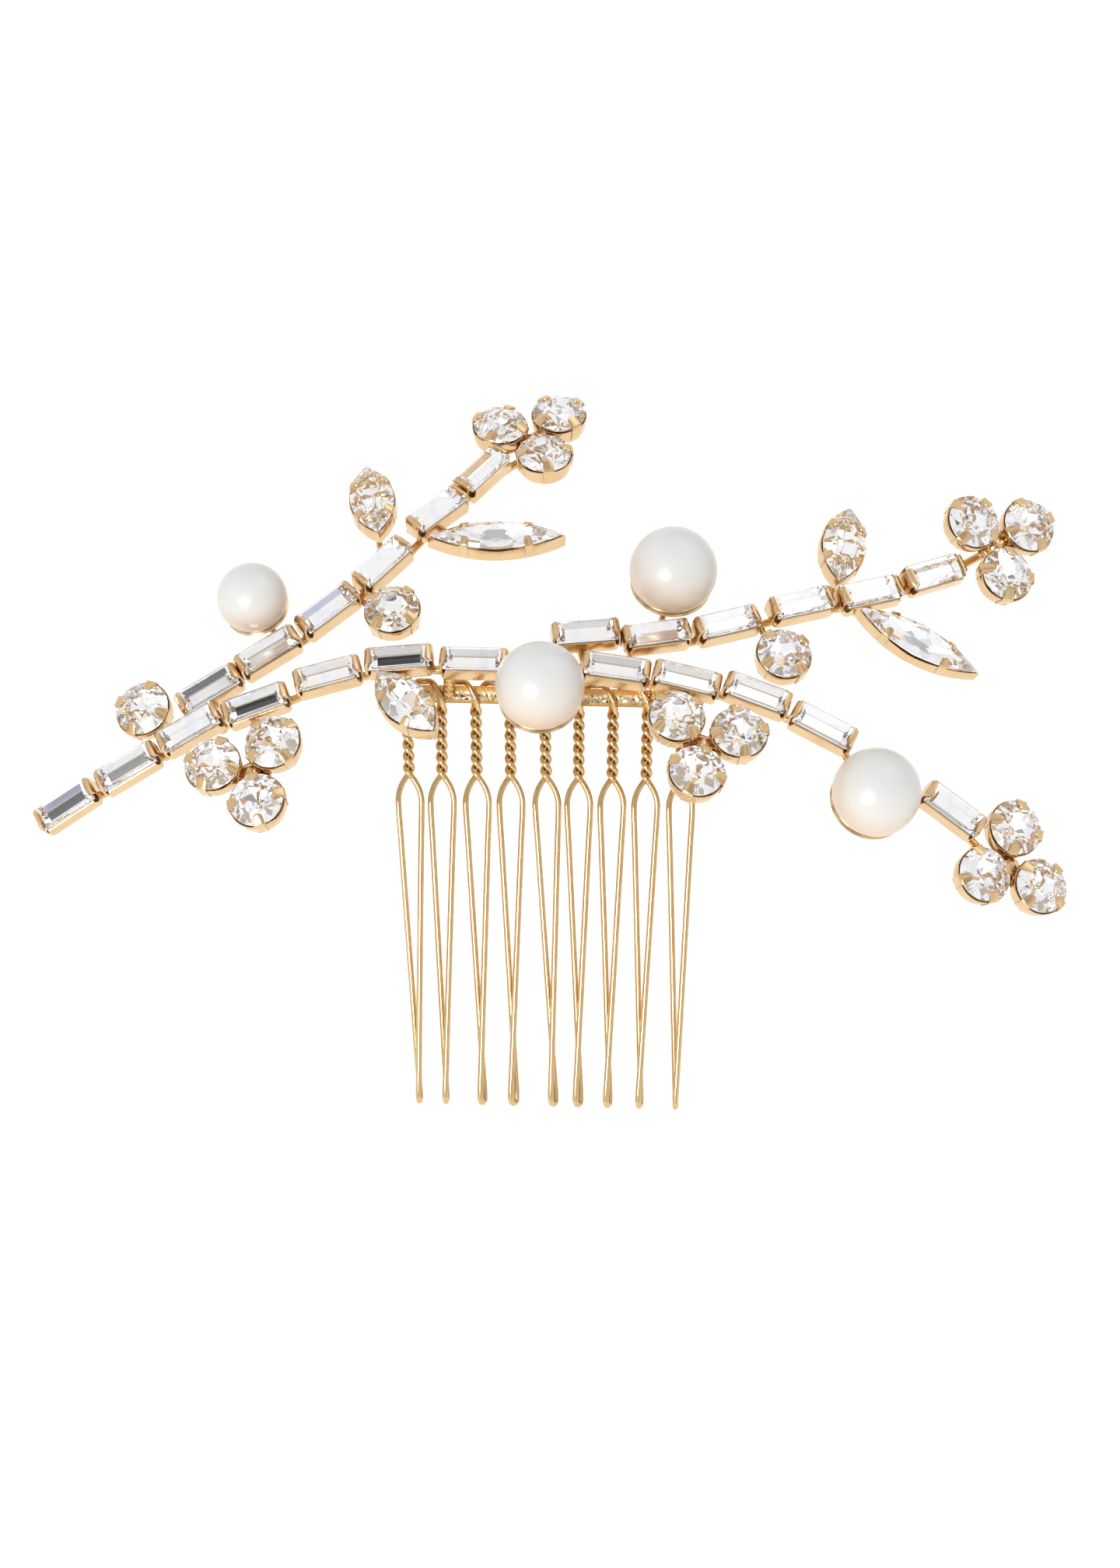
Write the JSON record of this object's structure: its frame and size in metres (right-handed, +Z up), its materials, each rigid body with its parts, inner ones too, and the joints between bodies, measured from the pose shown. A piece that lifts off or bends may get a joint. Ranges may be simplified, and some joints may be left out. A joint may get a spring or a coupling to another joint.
{
  "type": "decorative hair comb",
  "caption": "Wire-toothed hair comb with a wide branch spray of baguette, round and navette crystals and pearls soldered to the front of its rail.",
  "frame": {"origin": "middle of the comb's rail, where the comb is pushed into the hair up to its rail", "axes": "+Z up, away from the teeth's tips; -Y the way the ornament faces; +X to the right as the ornament is seen from the front"},
  "size_m": [0.1176, 0.0381, 0.0829],
  "materials": {
    "gold": "polished pale gold plating",
    "crystal": "clear foil-backed crystal",
    "pearl": "satin cream pearl coating"
  },
  "bodies": {
    "root": {"comb_rail": "gold", "tooth_1": "gold", "tooth_2": "gold", "tooth_3": "gold", "tooth_4": "gold", "tooth_5": "gold", "tooth_6": "gold", "tooth_7": "gold", "tooth_8": "gold", "tooth_9": "gold", "solder_left": "gold", "solder_right": "gold", "root_left": "gold", "root_right": "gold", "stem_main_left": "gold", "stem_main_right": "gold", "stem_left_branch": "gold", "stem_right_branch": "gold", "main_left_trays": "gold", "main_right_trays": "gold", "left_branch_trays": "gold", "right_branch_trays": "gold", "cluster_left_cups": "gold", "cluster_middle_cups": "gold", "cluster_right_cups": "gold", "cluster_top_cups": "gold", "cluster_upper_cups": "gold", "round_left_cup": "gold", "round_upper_cup": "gold", "round_right_cup": "gold", "navette_low_cup": "gold", "navette_left_cup": "gold", "navette_right_cup": "gold", "navette_long_left_cup": "gold", "navette_long_right_cup": "gold", "pearl_centre_cup": "gold", "pearl_right_cup": "gold", "pearl_left_cup": "gold", "pearl_upper_cup": "gold", "main_left_stones": "crystal", "main_right_stones": "crystal", "left_branch_stones": "crystal", "right_branch_stones": "crystal", "cluster_left_stones": "crystal", "cluster_middle_stones": "crystal", "cluster_right_stones": "crystal", "cluster_top_stones": "crystal", "cluster_upper_stones": "crystal", "round_left_stone": "crystal", "round_upper_stone": "crystal", "round_right_stone": "crystal", "navette_low_stone": "crystal", "navette_left_stone": "crystal", "navette_right_stone": "crystal", "navette_long_left_stone": "crystal", "navette_long_right_stone": "crystal", "pearl_centre_bead": "pearl", "pearl_right_bead": "pearl", "pearl_left_bead": "pearl", "pearl_upper_bead": "pearl"}
  },
  "joints": []
}
